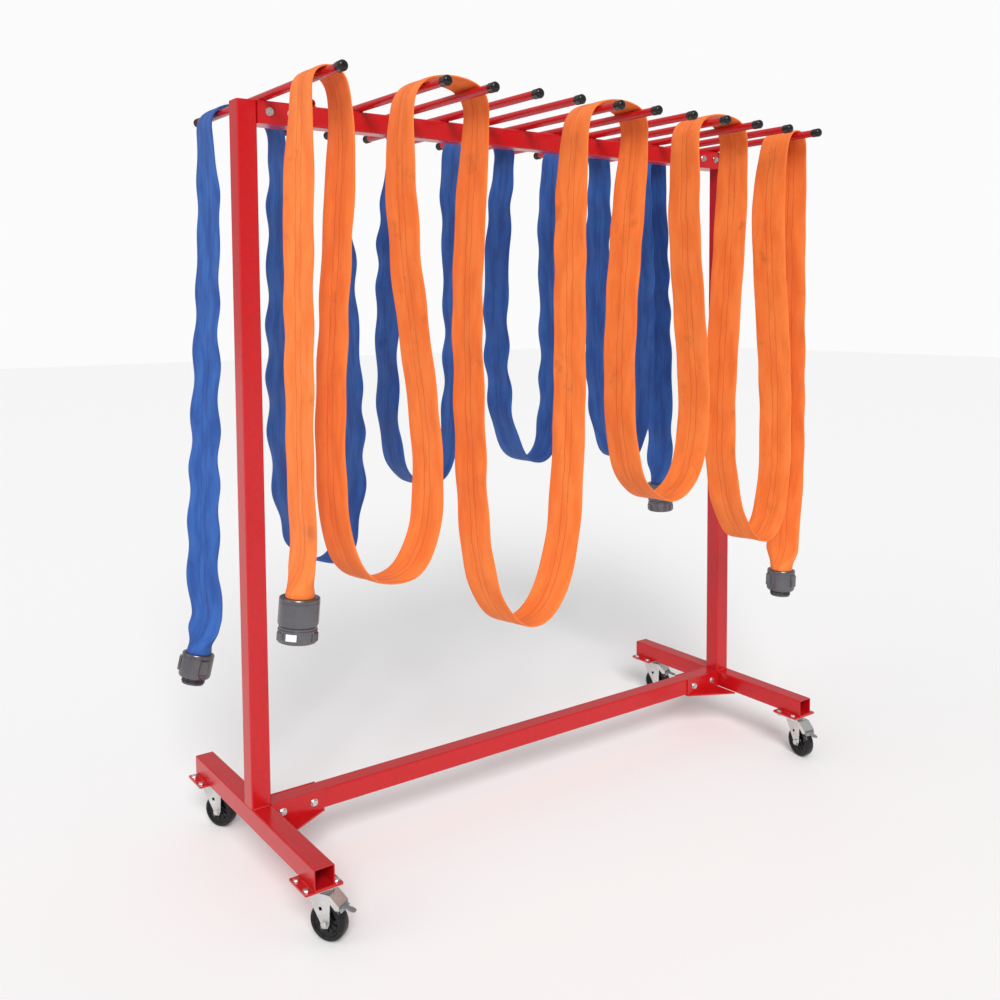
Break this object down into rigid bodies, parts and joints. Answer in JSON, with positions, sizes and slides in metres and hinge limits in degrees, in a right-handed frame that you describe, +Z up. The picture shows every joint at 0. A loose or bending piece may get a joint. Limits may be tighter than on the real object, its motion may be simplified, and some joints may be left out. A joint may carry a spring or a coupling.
{
  "type": "fire hose drying rack",
  "caption": "Rolling tubular steel rack with a row of long pegs on its top beam, swivel brake castors, and two lay-flat fire hoses with threaded couplings hung over the pegs.",
  "frame": {"origin": "on the floor under the middle of the rack, at the bottom centre of the rack without its hoses", "axes": "+X along the beam from the end with the short peg, +Y along the pegs towards the rear hose, +Z up"},
  "size_m": [2.2853, 1.09, 2.4547],
  "materials": {
    "red_paint": "gloss powder coat",
    "cap_vinyl": "semi-gloss ribbed vinyl",
    "zinc": "bright zinc plate",
    "wheel_black": "moulded core",
    "wheel_rubber": "worn tread",
    "pedal_grey": "grey coated steel",
    "orange_jacket": "coated woven jacket",
    "blue_jacket": "coated woven jacket",
    "hard_coat": "dark hard anodised",
    "gasket_rubber": "soft rubber",
    "brass": "satin"
  },
  "bodies": {
    "root": {"left_leg": "red_paint", "right_leg": "red_paint", "left_post": "red_paint", "right_post": "red_paint", "crossbar": "red_paint", "top_beam": "red_paint", "base_bracket_left": "red_paint", "base_bracket_right": "red_paint", "top_bracket_left": "red_paint", "top_bracket_right": "red_paint", "peg_01": "red_paint", "peg_02": "red_paint", "peg_03": "red_paint", "peg_04": "red_paint", "peg_05": "red_paint", "peg_06": "red_paint", "peg_07": "red_paint", "peg_08": "red_paint", "peg_09": "red_paint", "peg_10": "red_paint", "peg_11": "red_paint", "peg_12": "red_paint", "peg_13": "red_paint", "peg_caps": "cap_vinyl", "bracket_fasteners": "zinc", "castor_fasteners": "zinc", "front_left_plate": "zinc", "rear_left_plate": "zinc", "front_right_plate": "zinc", "rear_right_plate": "zinc", "orange_hose": "orange_jacket", "blue_hose": "blue_jacket", "orange_bowl": "hard_coat", "orange_male": "hard_coat", "blue_bowl": "hard_coat", "blue_male": "hard_coat", "swivel_gaskets": "gasket_rubber", "expansion_rings": "brass"},
    "front_left_swivel_fork": {"front_left_fork": "zinc", "front_left_axle": "zinc"},
    "front_left_wheel": {"front_left_hub": "wheel_black", "front_left_tyre": "wheel_rubber"},
    "front_left_brake": {"front_left_brake_pedal": "pedal_grey"},
    "rear_left_swivel_fork": {"rear_left_fork": "zinc", "rear_left_axle": "zinc"},
    "rear_left_wheel": {"rear_left_hub": "wheel_black", "rear_left_tyre": "wheel_rubber"},
    "rear_left_brake": {"rear_left_brake_pedal": "pedal_grey"},
    "front_right_swivel_fork": {"front_right_fork": "zinc", "front_right_axle": "zinc"},
    "front_right_wheel": {"front_right_hub": "wheel_black", "front_right_tyre": "wheel_rubber"},
    "front_right_brake": {"front_right_brake_pedal": "pedal_grey"},
    "rear_right_swivel_fork": {"rear_right_fork": "zinc", "rear_right_axle": "zinc"},
    "rear_right_wheel": {"rear_right_hub": "wheel_black", "rear_right_tyre": "wheel_rubber"},
    "rear_right_brake": {"rear_right_brake_pedal": "pedal_grey"},
    "orange_coupling_swivel": {"orange_swivel": "hard_coat"},
    "blue_coupling_swivel": {"blue_swivel": "hard_coat"}
  },
  "joints": [
    {"name": "front_left_swivel", "type": "hinge", "parent": "root", "child": "front_left_swivel_fork", "pos_m": [-1.0415, -0.409, 0.1402], "axis": [0, 0, 1], "continuous": true},
    {"name": "front_left_roll", "type": "hinge", "parent": "front_left_swivel_fork", "child": "front_left_wheel", "pos_m": [-1.02, -0.44624, 0.057], "axis": [0.866, 0.5, 0], "continuous": true},
    {"name": "front_left_brake_press", "type": "hinge", "parent": "front_left_swivel_fork", "child": "front_left_brake", "pos_m": [-0.9995, -0.48175, 0.109], "axis": [0.866, 0.5, 0], "range_deg": [0, 14]},
    {"name": "rear_left_swivel", "type": "hinge", "parent": "root", "child": "rear_left_swivel_fork", "pos_m": [-1.0415, 0.409, 0.1402], "axis": [0, 0, 1], "continuous": true},
    {"name": "rear_left_roll", "type": "hinge", "parent": "rear_left_swivel_fork", "child": "rear_left_wheel", "pos_m": [-1.02, 0.37176, 0.057], "axis": [0.866, 0.5, 0], "continuous": true},
    {"name": "rear_left_brake_press", "type": "hinge", "parent": "rear_left_swivel_fork", "child": "rear_left_brake", "pos_m": [-0.9995, 0.33625, 0.109], "axis": [0.866, 0.5, 0], "range_deg": [0, 14]},
    {"name": "front_right_swivel", "type": "hinge", "parent": "root", "child": "front_right_swivel_fork", "pos_m": [1.0415, -0.409, 0.1402], "axis": [0, 0, 1], "continuous": true},
    {"name": "front_right_roll", "type": "hinge", "parent": "front_right_swivel_fork", "child": "front_right_wheel", "pos_m": [1.03403, -0.45135, 0.057], "axis": [0.9848, -0.1736, 0], "continuous": true},
    {"name": "front_right_brake_press", "type": "hinge", "parent": "front_right_swivel_fork", "child": "front_right_brake", "pos_m": [1.02691, -0.49172, 0.109], "axis": [0.9848, -0.1736, 0], "range_deg": [0, 14]},
    {"name": "rear_right_swivel", "type": "hinge", "parent": "root", "child": "rear_right_swivel_fork", "pos_m": [1.0415, 0.409, 0.1402], "axis": [0, 0, 1], "continuous": true},
    {"name": "rear_right_roll", "type": "hinge", "parent": "rear_right_swivel_fork", "child": "rear_right_wheel", "pos_m": [1.05479, 0.36811, 0.057], "axis": [0.9511, 0.309, 0], "continuous": true},
    {"name": "rear_right_brake_press", "type": "hinge", "parent": "rear_right_swivel_fork", "child": "rear_right_brake", "pos_m": [1.06746, 0.32911, 0.109], "axis": [0.9511, 0.309, 0], "range_deg": [0, 14]},
    {"name": "orange_coupling_turn", "type": "hinge", "parent": "root", "child": "orange_coupling_swivel", "pos_m": [-1.06933, -0.38, 0.88639], "axis": [-0.0936, 0, -0.9956], "continuous": true},
    {"name": "blue_coupling_turn", "type": "hinge", "parent": "root", "child": "blue_coupling_swivel", "pos_m": [1.06743, 0.37, 0.88301], "axis": [0.0161, 0, -0.9999], "continuous": true}
  ]
}
